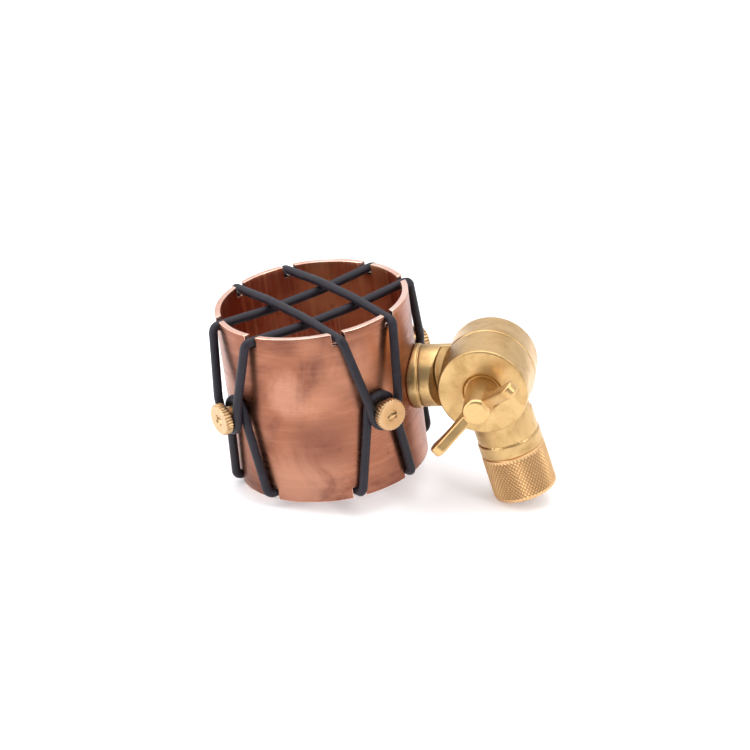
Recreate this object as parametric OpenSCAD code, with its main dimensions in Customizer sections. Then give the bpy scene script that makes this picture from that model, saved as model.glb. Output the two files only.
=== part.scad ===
// Elastic microphone cradle: a copper tube with crossed rubber bands at both
// ends, held on a brass swivel with a wing screw and a stand coupler.
// The Z axis is the tube's own axis, and the swivel's neck leaves along +X.

/* [Shell] */
// Outer diameter of the copper tube
shell_d = 66.7; // [60:0.1:90]
// Wall of the tube
shell_wall = 2; // [1.2:0.1:3]
// Length of the tube
shell_h = 61; // [50:1:90]
// Width of each band notch in the rims
notch_w = 4.2; // [4:0.1:5]
// Depth of each band notch
notch_depth = 3.8; // [3.4:0.1:5]

/* [Bands] */
// Thickness of the round rubber band
band_d = 3.1; // [2.4:0.1:3.6]
// Distance of each strand from the tube's axis
strand_offset = 10.3; // [9:0.1:13]
// Radius of the band's centre line where it turns over the rim
rim_bend_r = 2.4; // [2.2:0.1:3]

/* [Posts] */
// Diameter of the screw that carries each post
post_screw_d = 4; // [3:0.1:5]
// Diameter of that screw's head, inside the tube
post_head_d = 7.4; // [6.5:0.1:9]
// Diameter of the spacer sleeve that the bands pull on
sleeve_d = 6.8; // [6:0.1:8]
// Diameter of the knurled thumb nut
nut_d = 11.1; // [10:0.1:13]
// Thickness of the thumb nut
nut_h = 2.8; // [2:0.1:4]
// Number of knurl teeth round the thumb nut
nut_teeth = 30; // [20:1:40]

/* [Swivel] */
// Distance from the tube's outside to the swivel's pivot
neck_reach = 24.8; // [24:0.1:32]
// Diameter of each swivel half at the seam
seam_d = 32; // [28:0.1:34]
// Diameter of each swivel half at its outer face
face_d = 30.6; // [26:0.1:32]
// Thickness of the front half
front_t = 14.8; // [12:0.1:17]
// Thickness of the rear half
rear_t = 13.2; // [11:0.1:16]
// Diameter of the neck and of the stem
arm_d = 21.6; // [18:0.1:23]
// Diameter of the collar at the end of each
collar_d = 22.3; // [20:0.1:24]
// Length of that collar
collar_len = 4.8; // [3:0.1:6]
// Distance from the pivot to the stem's shoulder
stem_reach = 28.4; // [26:0.1:34]
// Lean of the stem from straight down, away from the tube
stem_lean = 10.9; // [-8:0.1:40]

/* [Wing screw] */
// Diameter of the screw's shank
wing_shank_d = 7.9; // [6:0.1:9]
// Diameter of the boss where it meets the swivel
boss_root_d = 11; // [10:0.1:12]
// Diameter of the boss at its end
boss_tip_d = 9.2; // [8:0.1:11]
// Height of the boss above the swivel's face
boss_h = 15.6; // [12:0.1:18]
// Thickness of each ear
ear_t = 3.1; // [2:0.1:4]
// Reach of each ear's tip from the screw's axis
ear_reach = 19; // [15:0.1:22]
// Height of the ear's tip above the swivel's face
ear_rise = 22.6; // [18:0.1:25]
// Turn of the ears from level
ear_turn = 39; // [0:1:180]

/* [Coupler] */
// Diameter over the knurl
coupler_d = 22.6; // [20:0.1:24]
// Length of the coupler
coupler_len = 16.8; // [13:0.1:22]
// Diameter of the threaded bore, at the crest of its thread
thread_bore_d = 14.86; // [12:0.01:16]
// Length of the stem's spigot inside the coupler
spigot_len = 6.2; // [4:0.1:9]

/* [Hidden] */
$fn = 96;

copper = [0.72, 0.45, 0.33];
rubber = [0.20, 0.20, 0.23];
brass = [0.80, 0.66, 0.40];
dark_brass = [0.72, 0.53, 0.28];
fibre = [0.35, 0.25, 0.18];
steel = [0.65, 0.65, 0.66];

// Clearances
seat_gap = 0.05;      // between pieces that seat on each other
run_gap = 0.07;       // radial, in a fit that turns
hole_gap = 0.15;      // radial, in a drilled hole
edge_gap = 0.15;      // between a band and the notch's edge
eps = 0.01;           // overlap of cuts and of joined solids
past = 1;             // how far a cutting tool runs past the face it cuts

// Shell
shell_r = shell_d / 2;
bore_r = shell_r - shell_wall;
post_angles = [45, 135, 225, 315];
neck_screw_d = 6;
neck_hole_r = neck_screw_d / 2 + hole_gap;
post_hole_r = post_screw_d / 2 + hole_gap;

// Bands: two levels outside the tube, one above the other at each post
band_r = band_d / 2;
inner_level = shell_r + seat_gap + band_r;
outer_level = inner_level + band_d + seat_gap;
wrap_r = sleeve_d / 2 + seat_gap + band_r;
weave = (band_d + seat_gap) / 2;
// The band turns round the outer edge of the notch's floor, and a strand that
// dips under another still clears the floor's inner edge
edge_x = sqrt(shell_r * shell_r - strand_offset * strand_offset);
inner_edge_x = sqrt(bore_r * bore_r - strand_offset * strand_offset);
edge_z = shell_h / 2 - notch_depth;
turn_shift = rim_bend_r - (rim_bend_r - band_r - edge_gap) / sqrt(2);
rim_x = edge_x + turn_shift;
dip = weave * (rim_x - inner_edge_x) / (rim_x - strand_offset);
strand_z = edge_z + max(turn_shift, band_r + seat_gap + dip);
knee_z = wrap_r;
knee_bend_r = 10;
weave_bend_r = 14;
band_sides = 10;
bend_step = 15;

// Posts
sleeve_end = outer_level + band_r + seat_gap;
nut_back = sleeve_end + seat_gap;
nut_face = nut_back + nut_h;
tooth_h = 0.45;
nut_chamfer = 0.5;
countersink = 0.7;
tip_drop = 0.4;
tip_chamfer = 0.5;
post_head_t = 2.4;
post_head_chamfer = 0.8;
post_head_x = sqrt(bore_r * bore_r - post_head_d * post_head_d / 4) - seat_gap;

// Swivel
hub_x = shell_r + neck_reach;
arm_gap = 2.8;
// Each arm is cut back on the other half's side, past the drum and past the
// corner where the two arms would meet
arm_clear_r = max(seam_d, arm_d * sqrt(2)) / 2 + arm_gap;
seam_lip = 1.2;
seam_chamfer = 0.3;
face_chamfer = 0.5;
ring_groove = 0.35;
cope_depth = 3;
recess_rim = 1.1;
boss_recess_r = boss_root_d / 2 + recess_rim;
boss_recess = 0.6;
washer_t = 1;
washer_rim = 4.1;
washer_r = face_d / 2 - washer_rim;
shank_bore_r = wing_shank_d / 2 + run_gap;
shank_depth = 9;

// Neck fixing
neck_thread_wall = 1.2;
neck_drill_tip = 0.3;
neck_thread = neck_reach - arm_clear_r - neck_thread_wall - neck_drill_tip;
neck_washer_r = 6.5;
neck_washer_t = 1.2;
neck_washer_x = sqrt(bore_r * bore_r - neck_washer_r * neck_washer_r) - seat_gap;
neck_head_r = 5.2;
neck_head_t = 3.6;
neck_head_chamfer = 1.2;
neck_seat_x = neck_washer_x - neck_washer_t - seat_gap;

// Coupler
spigot_r = thread_bore_d / 2 - seat_gap;
relief_len = 1.4;
relief_h = 0.7;
end_chamfer = 0.8;

// ---------------------------------------------------------------- helpers

function unit(v) = v / norm(v);

// Points of one rounded corner b between a and c
function corner(a, b, c, r) =
    let (p = unit(a - b), q = unit(c - b))
    let (turn = 180 - acos(p * q), reach = r * tan(turn / 2))
    let (centre = b + unit(p + q) * r / cos(turn / 2))
    let (from = b + p * reach - centre, to = b + q * reach - centre)
    let (steps = max(1, ceil(turn / bend_step)))
    [for (i = [0 : steps])
        let (t = i / steps)
        centre + (sin((1 - t) * turn) * from + sin(t * turn) * to) / sin(turn)];

// A path without the points that repeat the one before
function distinct(path) =
    let (n = len(path))
    [for (i = [0 : n - 1]) if (norm(path[i] - path[(i + n - 1) % n]) > eps) path[i]];

// Closed path of rounded corners; each corner is [point, bend radius]
function rounded_loop(corners) =
    let (n = len(corners))
    distinct([for (i = [0 : n - 1]) each corner(corners[(i + n - 1) % n][0],
        corners[i][0], corners[(i + 1) % n][0], corners[i][1])]);

// Round bar along a closed path, its section carried along without twisting
module closed_bar(path, r, sides) {
    n = len(path);
    tangent = [for (i = [0 : n - 1])
        unit(unit(path[(i + 1) % n] - path[i]) + unit(path[i] - path[(i + n - 1) % n]))];
    first = unit(cross(tangent[0], [0.3, 0.2, 1]));
    carried = [for (i = 0, v = first; i <= n; i = i + 1,
        v = unit(v - (v * tangent[i % n]) * tangent[i % n])) v];
    last = carried[n];
    slip = atan2(cross(last, first) * tangent[0], last * first);
    points = [for (i = [0 : n - 1]) let (side = cross(tangent[i], carried[i]))
        for (k = [0 : sides - 1]) let (a = 360 * k / sides + slip * i / n)
            path[i] + r * (cos(a) * carried[i] + sin(a) * side)];
    faces = [for (i = [0 : n - 1], k = [0 : sides - 1])
        let (j = (i + 1) % n, m = (k + 1) % sides)
        each [[i * sides + k, j * sides + m, i * sides + m],
              [i * sides + k, j * sides + k, j * sides + m]]];
    polyhedron(points, faces, convexity = 6);
}

// Turns a piece made along +Z to point outwards along a post's axis
module along_post(angle) {
    rotate([0, 0, angle]) rotate([0, 90, 0]) children();
}

// Cylinder with a chamfered far end
module turned(r, h, chamfer) {
    cylinder(r = r, h = h - chamfer);
    translate([0, 0, h - chamfer])
        cylinder(r1 = r, r2 = r - chamfer, h = chamfer);
}

// ---------------------------------------------------------------- shell

// One saw cut across both walls, on the line of a strand
module strand_cut(direction, side, top) {
    rotate([0, 0, direction])
        translate([0, side * strand_offset, top * shell_h / 2])
            cube([shell_d + 2 * past, notch_w, 2 * notch_depth], center = true);
}

module shell() {
    color(copper)
        difference() {
            cylinder(r = shell_r, h = shell_h, center = true);
            cylinder(r = bore_r, h = shell_h + 2 * past, center = true);
            for (direction = [45, 135], side = [-1, 1], top = [-1, 1])
                strand_cut(direction, side, top);
            for (angle = post_angles)
                along_post(angle) cylinder(r = post_hole_r, h = shell_d);
            along_post(0) cylinder(r = neck_hole_r, h = shell_d);
        }
}

// ---------------------------------------------------------------- bands

// Lean of a leg from upright, tangent to its wrap round the post
leg_lean = atan2(strand_offset, strand_z) - asin(wrap_r / norm([strand_offset, strand_z]));
foot_y = wrap_r * tan((90 - leg_lean) / 2);
knee_y = foot_y + (knee_z + wrap_r) * tan(leg_lean);

// Corners of half a loop: a strand, over the rim, down, and under one post
function half_loop(end, level, lift) = [
    [[-end * strand_offset, end * strand_offset, strand_z + lift], weave_bend_r],
    [[end * strand_offset, end * strand_offset, strand_z + lift], weave_bend_r],
    [[end * rim_x, end * strand_offset, strand_z], rim_bend_r],
    [[end * level, end * knee_y, knee_z], knee_bend_r],
    [[end * level, end * foot_y, -wrap_r], wrap_r],
    [[end * level, -end * foot_y, -wrap_r], wrap_r],
    [[end * level, -end * knee_y, knee_z], knee_bend_r],
    [[end * rim_x, -end * strand_offset, strand_z], rim_bend_r]];

module band(direction, level, lift) {
    color(rubber)
        rotate([0, 0, direction])
            closed_bar(rounded_loop(concat(half_loop(1, level, lift), half_loop(-1, level, lift))),
                band_r, band_sides);
}

module upper_band_a() { band(135, outer_level, weave); }
module upper_band_b() { band(45, outer_level, -weave); }
module lower_band_a() { mirror([0, 0, 1]) band(135, inner_level, weave); }
module lower_band_b() { mirror([0, 0, 1]) band(45, inner_level, -weave); }

// ---------------------------------------------------------------- posts

module post_sleeve(angle) {
    color(brass)
        along_post(angle) translate([0, 0, shell_r])
            difference() {
                cylinder(d = sleeve_d, h = sleeve_end - shell_r);
                translate([0, 0, -past])
                    cylinder(r = post_screw_d / 2 + run_gap, h = sleeve_end - shell_r + 2 * past);
            }
}

// Pan head inside the tube, shank out through the wall
module post_screw(angle) {
    color(brass)
        along_post(angle) {
            translate([0, 0, post_head_x]) mirror([0, 0, 1])
                turned(post_head_d / 2, post_head_t, post_head_chamfer);
            translate([0, 0, post_head_x - eps])
                turned(post_screw_d / 2, nut_face - tip_drop - post_head_x, tip_chamfer);
        }
}

module thumb_nut(angle) {
    tip_r = nut_d / 2;
    bore = post_screw_d / 2 + run_gap;
    color(brass)
        along_post(angle) translate([0, 0, nut_back])
            difference() {
                intersection() {
                    linear_extrude(nut_h)
                        polygon([for (i = [0 : 2 * nut_teeth - 1])
                            let (a = 180 * i / nut_teeth, r = tip_r - (i % 2) * tooth_h)
                            [r * cos(a), r * sin(a)]]);
                    turned(tip_r + nut_chamfer / 2, nut_h, nut_chamfer);
                }
                translate([0, 0, -past])
                    cylinder(r = bore, h = nut_h + 2 * past);
                translate([0, 0, nut_h - countersink])
                    cylinder(r1 = bore, r2 = bore + countersink + eps, h = countersink + eps);
            }
}

module post_sleeve_1() { post_sleeve(post_angles[0]); }
module post_sleeve_2() { post_sleeve(post_angles[1]); }
module post_sleeve_3() { post_sleeve(post_angles[2]); }
module post_sleeve_4() { post_sleeve(post_angles[3]); }
module post_screw_1() { post_screw(post_angles[0]); }
module post_screw_2() { post_screw(post_angles[1]); }
module post_screw_3() { post_screw(post_angles[2]); }
module post_screw_4() { post_screw(post_angles[3]); }
module thumb_nut_1() { thumb_nut(post_angles[0]); }
module thumb_nut_2() { thumb_nut(post_angles[1]); }
module thumb_nut_3() { thumb_nut(post_angles[2]); }
module thumb_nut_4() { thumb_nut(post_angles[3]); }

// ---------------------------------------------------------------- swivel

// Half of the swivel's drum, from the seam along +Z, with a casting's draft
module drum(t) {
    rotate_extrude()
        polygon([[0, seat_gap], [seam_d / 2 - seam_chamfer, seat_gap],
            [seam_d / 2, seat_gap + seam_chamfer], [seam_d / 2, seam_lip],
            [face_d / 2, t - face_chamfer], [face_d / 2 - face_chamfer, t], [0, t]]);
}

// Round arm from the pivot along +Z, ending in a collar
module arm(shoulder) {
    cylinder(d = arm_d, h = shoulder - collar_len);
    translate([0, 0, shoulder - collar_len - ring_groove])
        cylinder(d = arm_d - 2 * ring_groove, h = 2 * ring_groove);
    translate([0, 0, shoulder - collar_len])
        cylinder(d = collar_d, h = collar_len);
}

// Pivot frames: children made along +Z from the pivot
module at_pivot_front() { translate([hub_x, 0, 0]) rotate([90, 0, 0]) children(); }
module at_pivot_rear() { translate([hub_x, 0, 0]) rotate([-90, 0, 0]) children(); }
module at_stem() { translate([hub_x, 0, 0]) rotate([0, 180 - stem_lean, 0]) children(); }

module neck_screw() {
    color(steel)
        rotate([0, 90, 0]) {
            translate([0, 0, neck_seat_x]) mirror([0, 0, 1])
                turned(neck_head_r, neck_head_t, neck_head_chamfer);
            translate([0, 0, neck_seat_x - eps])
                cylinder(d = neck_screw_d, h = shell_r + neck_thread - neck_seat_x);
        }
}

module neck_washer() {
    color(steel)
        translate([neck_washer_x - neck_washer_t, 0, 0]) rotate([0, 90, 0])
            difference() {
                cylinder(r = neck_washer_r, h = neck_washer_t);
                translate([0, 0, -past]) cylinder(r = neck_hole_r, h = neck_washer_t + 2 * past);
            }
}

module swivel_rear() {
    color(brass)
        difference() {
            union() {
                at_pivot_rear() drum(rear_t);
                difference() {
                    translate([hub_x, 0, 0]) rotate([0, -90, 0]) arm(neck_reach + cope_depth);
                    // room for the front half to turn
                    at_pivot_front() translate([0, 0, -seat_gap])
                        cylinder(r = arm_clear_r, h = arm_d);
                }
            }
            cylinder(r = shell_r + seat_gap, h = shell_h, center = true);
            at_pivot_rear() {
                cylinder(r = shank_bore_r, h = shank_depth + past);
                cylinder(r = washer_r + hole_gap, h = washer_t);
            }
            rotate([0, 90, 0])
                cylinder(r = neck_screw_d / 2 + seat_gap, h = shell_r + neck_thread + neck_drill_tip);
        }
}

module friction_washer() {
    color(fibre)
        at_pivot_rear()
            difference() {
                cylinder(r = washer_r, h = washer_t);
                translate([0, 0, -past]) cylinder(r = shank_bore_r + hole_gap, h = washer_t + 2 * past);
            }
}

module swivel_front() {
    color(brass)
        difference() {
            union() {
                at_pivot_front() drum(front_t);
                difference() {
                    at_stem() arm(stem_reach);
                    // room for the rear half
                    at_pivot_rear() translate([0, 0, -seat_gap])
                        cylinder(r = arm_clear_r, h = arm_d);
                }
                at_stem() translate([0, 0, stem_reach - past])
                    cylinder(r = spigot_r, h = spigot_len + past);
            }
            at_pivot_front() {
                translate([0, 0, -past]) cylinder(r = shank_bore_r, h = front_t + 2 * past);
                translate([0, 0, front_t - boss_recess])
                    cylinder(r = boss_recess_r, h = boss_recess + past);
            }
        }
}

// ---------------------------------------------------------------- wing screw

ear_tip_r = 2.9;
ear_tip = [ear_reach - ear_tip_r, ear_rise - ear_tip_r];
ear_low = 3;          // where the ear's rear edge leaves the boss
ear_sink = 0.4;       // depth of the ear's roots in the boss
ear_front = [boss_tip_d / 2 - ear_sink, boss_h - ear_sink];

// The rear edge is an arc that leaves the boss upwards and touches the tip
root_x = boss_root_d / 2 - ear_sink;
sweep_run = ear_tip[0] - root_x;
sweep_rise = ear_tip[1] - ear_low;
sweep_r = (sweep_run * sweep_run + sweep_rise * sweep_rise - ear_tip_r * ear_tip_r)
    / (2 * (sweep_run + ear_tip_r));
sweep_centre = [root_x + sweep_r, ear_low];

// Outline of one ear: a round tip, a straight front edge and a hollow rear edge
module ear_outline() {
    span = ear_tip - ear_front;
    rise = atan2(span[1], span[0]) + asin(ear_tip_r / norm(span));
    translate(ear_tip) circle(r = ear_tip_r);
    difference() {
        polygon([[0, ear_low], [0, ear_front[1]], ear_front,
            ear_tip + ear_tip_r * [-sin(rise), cos(rise)], ear_tip, sweep_centre]);
        translate(sweep_centre) circle(r = sweep_r, $fn = 3 * $fn);
    }
}

module wing_screw() {
    color(brass)
        at_pivot_front() {
            translate([0, 0, -shank_depth])
                cylinder(d = wing_shank_d, h = front_t + shank_depth);
            translate([0, 0, front_t - boss_recess + seat_gap])
                cylinder(d1 = boss_root_d, d2 = boss_tip_d, h = boss_h + boss_recess - seat_gap);
            translate([0, 0, front_t])
                for (turn = [ear_turn, ear_turn + 180])
                    rotate([0, 0, turn]) rotate([90, 0, 0])
                        translate([0, 0, -ear_t / 2]) linear_extrude(ear_t) ear_outline();
        }
}

// ---------------------------------------------------------------- coupler

module stand_coupler() {
    color(dark_brass)
        at_stem() translate([0, 0, stem_reach + seat_gap])
            difference() {
                turned(coupler_d / 2, coupler_len, end_chamfer);
                translate([0, 0, -past]) cylinder(d = thread_bore_d, h = coupler_len + 2 * past);
                // relief between the spigot's thread and the stand's
                translate([0, 0, spigot_len - relief_len / 2])
                    cylinder(d = thread_bore_d + 2 * relief_h, h = relief_len);
                // lead-in at the mouth
                translate([0, 0, coupler_len - relief_h])
                    cylinder(d1 = thread_bore_d, d2 = thread_bore_d + 2 * relief_h + 2 * eps,
                        h = relief_h + eps);
            }
}

// ---------------------------------------------------------------- nodes

shell();
upper_band_a();
upper_band_b();
lower_band_a();
lower_band_b();
post_sleeve_1();
post_sleeve_2();
post_sleeve_3();
post_sleeve_4();
post_screw_1();
post_screw_2();
post_screw_3();
post_screw_4();
thumb_nut_1();
thumb_nut_2();
thumb_nut_3();
thumb_nut_4();
neck_screw();
neck_washer();
swivel_rear();
friction_washer();
swivel_front();
wing_screw();
stand_coupler();
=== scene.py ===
"""An elastic microphone cradle: a notched copper tube laced with rubber bands, on a brass stand swivel.

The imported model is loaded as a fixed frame. The tube, bands, nuts, screws, swivel, wing screw and
coupler are modelled again in fine detail, in millimetres, and scaled to metres as they are finished.
"""

import logging
import math
from dataclasses import dataclass
from enum import Enum, IntEnum
from typing import Iterable, Sequence

import bmesh
import bpy
from mathutils import Matrix, Vector, noise


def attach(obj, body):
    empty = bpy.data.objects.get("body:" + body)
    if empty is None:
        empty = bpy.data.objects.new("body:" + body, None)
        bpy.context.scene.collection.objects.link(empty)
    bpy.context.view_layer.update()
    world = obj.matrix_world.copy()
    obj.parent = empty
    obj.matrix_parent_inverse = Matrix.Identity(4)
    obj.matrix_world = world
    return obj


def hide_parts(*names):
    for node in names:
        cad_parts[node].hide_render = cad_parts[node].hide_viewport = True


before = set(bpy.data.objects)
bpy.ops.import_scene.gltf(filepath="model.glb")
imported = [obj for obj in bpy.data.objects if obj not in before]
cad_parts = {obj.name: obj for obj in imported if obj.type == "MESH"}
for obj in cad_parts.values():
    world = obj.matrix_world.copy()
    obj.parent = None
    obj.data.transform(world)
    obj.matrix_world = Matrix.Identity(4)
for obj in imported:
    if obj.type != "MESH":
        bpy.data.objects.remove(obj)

log = logging.getLogger("cradle")
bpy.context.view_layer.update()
MM = 0.001
TAU = 2 * math.pi
Profile = Sequence[tuple[float, float]]
Socket = bpy.types.NodeSocket
Mark = tuple[float, float, float, float, float]
SLOT_REACH = 14.0


# ------------------------------------------------------------------ driving sizes, in millimetres


@dataclass(frozen=True)
class Sizes:
    """Driving sizes of the whole cradle, in millimetres."""

    tube_r: float = 33.35
    tube_wall: float = 2.0
    tube_h: float = 61.0
    notch_w: float = 4.2
    notch_depth: float = 3.8
    band_d: float = 3.1
    strand_offset: float = 10.3
    rim_bend_r: float = 2.4
    sleeve_r: float = 3.4
    nut_r: float = 5.55
    nut_h: float = 2.8
    post_screw_r: float = 2.0
    neck_reach: float = 24.8
    stem_reach: float = 28.4
    stem_lean: float = 10.9
    seat_gap: float = 0.05
    edge_gap: float = 0.15

    @property
    def hub_x(self) -> float:
        """Distance of the swivel's pivot from the tube's axis."""
        return self.tube_r + self.neck_reach

    @property
    def band_r(self) -> float:
        """Half the thickness of a band."""
        return self.band_d / 2

    @property
    def inner_level(self) -> float:
        """Distance from the tube's axis of the bands that lie on the tube."""
        return self.tube_r + self.seat_gap + self.band_r

    @property
    def outer_level(self) -> float:
        """Distance from the tube's axis of the bands that lie on the others."""
        return self.inner_level + self.band_d + self.seat_gap

    @property
    def nut_back(self) -> float:
        """Distance from the tube's axis of the thumb nuts' back faces."""
        return self.outer_level + self.band_r + 2 * self.seat_gap


SIZES = Sizes()
POST_ANGLES = (45.0, 135.0, 225.0, 315.0)


# ------------------------------------------------------------------ mesh helpers


def turned(profile: Profile, steps: int) -> bmesh.types.BMesh:
    """Spins a closed outline of (radius, height) points round the Z axis.

    Args:
        profile: The outline's points in order; points on the axis have a radius of 0.
        steps: Number of steps in the full turn.

    Returns:
        A closed bmesh with its faces pointing outwards.
    """
    bm = bmesh.new()
    verts = [bm.verts.new((r, 0.0, z)) for r, z in profile]
    for a, b in zip(verts, verts[1:] + verts[:1]):
        if a.co.x > 0 or b.co.x > 0:
            bm.edges.new((a, b))
    bmesh.ops.spin(bm, geom=bm.verts[:] + bm.edges[:], cent=(0, 0, 0), axis=(0, 0, 1),
                   angle=TAU, steps=steps, use_merge=True)
    bmesh.ops.remove_doubles(bm, verts=bm.verts, dist=1e-4)
    bmesh.ops.dissolve_degenerate(bm, dist=1e-5, edges=bm.edges)
    bmesh.ops.recalc_face_normals(bm, faces=bm.faces)
    return bm


def rounded(outline: Profile, radii: Sequence[float], steps: int = 4) -> list[tuple[float, float]]:
    """Rounds the corners of a flat outline.

    Args:
        outline: Corner points in order, closed.
        radii: One radius for each corner; 0 keeps it sharp.
        steps: Number of steps along each rounded corner.

    Returns:
        The outline's points with each corner replaced by an arc.
    """
    points: list[tuple[float, float]] = []
    count = len(outline)
    for i, r in enumerate(radii):
        here = Vector((*outline[i], 0.0))
        before = (Vector((*outline[i - 1], 0.0)) - here).normalized()
        after = (Vector((*outline[(i + 1) % count], 0.0)) - here).normalized()
        if r <= 0:
            points.append((here.x, here.y))
            continue
        points += [(p.x, p.y) for p in corner_arc(here, before, after, r, steps)]
    return points


def corner_arc(here: Vector, before: Vector, after: Vector, r: float, steps: int) -> list[Vector]:
    """Points of the arc that rounds a corner.

    Args:
        here: The corner.
        before: Unit vector from the corner towards the point before it.
        after: Unit vector from the corner towards the point after it.
        r: Radius of the arc.
        steps: Number of steps along it.

    Returns:
        The arc's points, from the side before to the side after.
    """
    turn = math.pi - before.angle(after)
    if turn < 1e-4:
        return [here]
    reach = r * math.tan(turn / 2)
    centre = here + (before + after).normalized() * (r / math.cos(turn / 2))
    start, stop = here + before * reach - centre, here + after * reach - centre
    return [centre + (start * math.sin((1 - t) * turn) + stop * math.sin(t * turn)) / math.sin(turn)
            for t in (i / steps for i in range(steps + 1))]


def place(bm: bmesh.types.BMesh, matrix: Matrix) -> bmesh.types.BMesh:
    """Moves a whole bmesh by a matrix, in millimetres, and returns it."""
    bmesh.ops.transform(bm, matrix=matrix, verts=bm.verts)
    return bm


def along_post(angle: float) -> Matrix:
    """Matrix that turns a piece made along +Z to point outwards along a post's axis."""
    return Matrix.Rotation(math.radians(angle), 4, "Z") @ Matrix.Rotation(math.pi / 2, 4, "Y")


def at_pivot(rear: bool = False) -> Matrix:
    """Matrix of the swivel's pivot: +Z leaves the front half's face, or the rear half's."""
    turn = -math.pi / 2 if rear else math.pi / 2
    return Matrix.Translation((SIZES.hub_x, 0, 0)) @ Matrix.Rotation(turn, 4, "X")


def at_stem() -> Matrix:
    """Matrix of the stem: +Z leaves the pivot along the stem's axis."""
    turn = math.radians(180 - SIZES.stem_lean)
    return Matrix.Translation((SIZES.hub_x, 0, 0)) @ Matrix.Rotation(turn, 4, "Y")


def at_neck() -> Matrix:
    """Matrix of the neck: +Z leaves the pivot towards the tube."""
    return Matrix.Translation((SIZES.hub_x, 0, 0)) @ Matrix.Rotation(-math.pi / 2, 4, "Y")


def grown(bm: bmesh.types.BMesh, edges: Sequence[bmesh.types.BMEdge]) -> tuple[
        list[bmesh.types.BMVert], list[bmesh.types.BMEdge]]:
    """Extrudes a ring of edges in place.

    Args:
        bm: The bmesh.
        edges: The ring's edges.

    Returns:
        The new ring's vertices and its edges.
    """
    made = bmesh.ops.extrude_edge_only(bm, edges=edges)["geom"]
    verts = [g for g in made if isinstance(g, bmesh.types.BMVert)]
    fresh = set(verts)
    return verts, [g for g in made if isinstance(g, bmesh.types.BMEdge) and set(g.verts) <= fresh]


def to_object(bm: bmesh.types.BMesh, name: str, smooth_angle: float = 35.0,
              unit: float = MM) -> bpy.types.Object:
    """Turns a bmesh into an object in metres, at the origin.

    Args:
        bm: The bmesh, which is freed.
        name: Name of the new object.
        smooth_angle: Edges sharper than this many degrees stay sharp.
        unit: Length of the bmesh's unit, in metres.

    Returns:
        The new object.
    """
    bmesh.ops.scale(bm, vec=(unit, unit, unit), verts=bm.verts)
    mesh = bpy.data.meshes.new(name)
    bm.to_mesh(mesh)
    bm.free()
    mesh.polygons.foreach_set("use_smooth", [True] * len(mesh.polygons))
    mesh.set_sharp_from_angle(angle=math.radians(smooth_angle))
    obj = bpy.data.objects.new(name, mesh)
    bpy.context.scene.collection.objects.link(obj)
    return obj


def settle(obj: bpy.types.Object) -> None:
    """Applies the object's modifiers to its mesh and removes them."""
    bpy.context.view_layer.update()
    depsgraph = bpy.context.evaluated_depsgraph_get()
    mesh = bpy.data.meshes.new_from_object(obj.evaluated_get(depsgraph))
    old = obj.data
    obj.modifiers.clear()
    obj.data = mesh
    mesh.name = obj.name
    bpy.data.meshes.remove(old)


def carve(obj: bpy.types.Object, tool: bmesh.types.BMesh) -> None:
    """Takes a solid away from an object.

    Args:
        obj: The object, whose mesh changes.
        tool: The solid to take away, in millimetres, which is freed.
    """
    other = to_object(tool, "tool")
    modifier = obj.modifiers.new("carve", "BOOLEAN")
    modifier.operation = "DIFFERENCE"
    modifier.solver = "EXACT"
    modifier.object = other
    settle(obj)
    mesh = other.data
    bpy.data.objects.remove(other)
    bpy.data.meshes.remove(mesh)


def cut_slot(screw: bpy.types.Object, face: Matrix, width: float, depth: float) -> None:
    """Cuts a driver's slot across a screw's end.

    Args:
        screw: The screw, whose mesh changes.
        face: Matrix of the end face, with the slot along its X axis.
        width: Width of the slot, in millimetres.
        depth: Depth of the slot, in millimetres.
    """
    blade = bmesh.new()
    bmesh.ops.create_cube(blade, size=1.0)
    carve(screw, place(blade, face @ Matrix.Diagonal((SLOT_REACH, width, 2 * depth, 1.0))))


def gather(obj: bpy.types.Object, piece: bmesh.types.BMesh) -> None:
    """Adds a solid to an object's mesh; the two become one skin when the object is softened.

    Args:
        obj: The object, whose mesh changes.
        piece: The solid to add, in millimetres, which is freed.
    """
    bmesh.ops.scale(piece, vec=(MM, MM, MM), verts=piece.verts)
    piece.from_mesh(obj.data)
    piece.to_mesh(obj.data)
    piece.free()


def soften(obj: bpy.types.Object, voxel: float, passes: int) -> None:
    """Remeshes an object finely and relaxes it, so its edges round as a casting's do.

    Args:
        obj: The object, whose mesh changes.
        voxel: Size of the new faces, in millimetres.
        passes: Number of smoothing passes.
    """
    remesh = obj.modifiers.new("remesh", "REMESH")
    remesh.mode = "VOXEL"
    remesh.voxel_size = voxel * MM
    remesh.use_smooth_shade = True
    relax = obj.modifiers.new("relax", "SMOOTH")
    relax.factor = 0.5
    relax.iterations = passes
    settle(obj)


def edge_round(obj: bpy.types.Object, width: float, segments: int = 2, slot: int = -1,
               angle: float = 40.0) -> None:
    """Rounds an object's sharp edges.

    Args:
        obj: The object, whose mesh changes.
        width: Width of the rounding, in millimetres.
        segments: Number of faces across it.
        slot: Material slot of the new faces, or -1 to keep their neighbours'.
        angle: Edges sharper than this many degrees are rounded.
    """
    bevel = obj.modifiers.new("edges", "BEVEL")
    bevel.width = width * MM
    bevel.segments = segments
    bevel.limit_method = "ANGLE"
    bevel.angle_limit = math.radians(angle)
    bevel.material = slot
    bevel.use_clamp_overlap = True
    settle(obj)
    obj.data.polygons.foreach_set("use_smooth", [True] * len(obj.data.polygons))
    obj.data.set_sharp_from_angle(angle=math.radians(60))


# ------------------------------------------------------------------ materials


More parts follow.
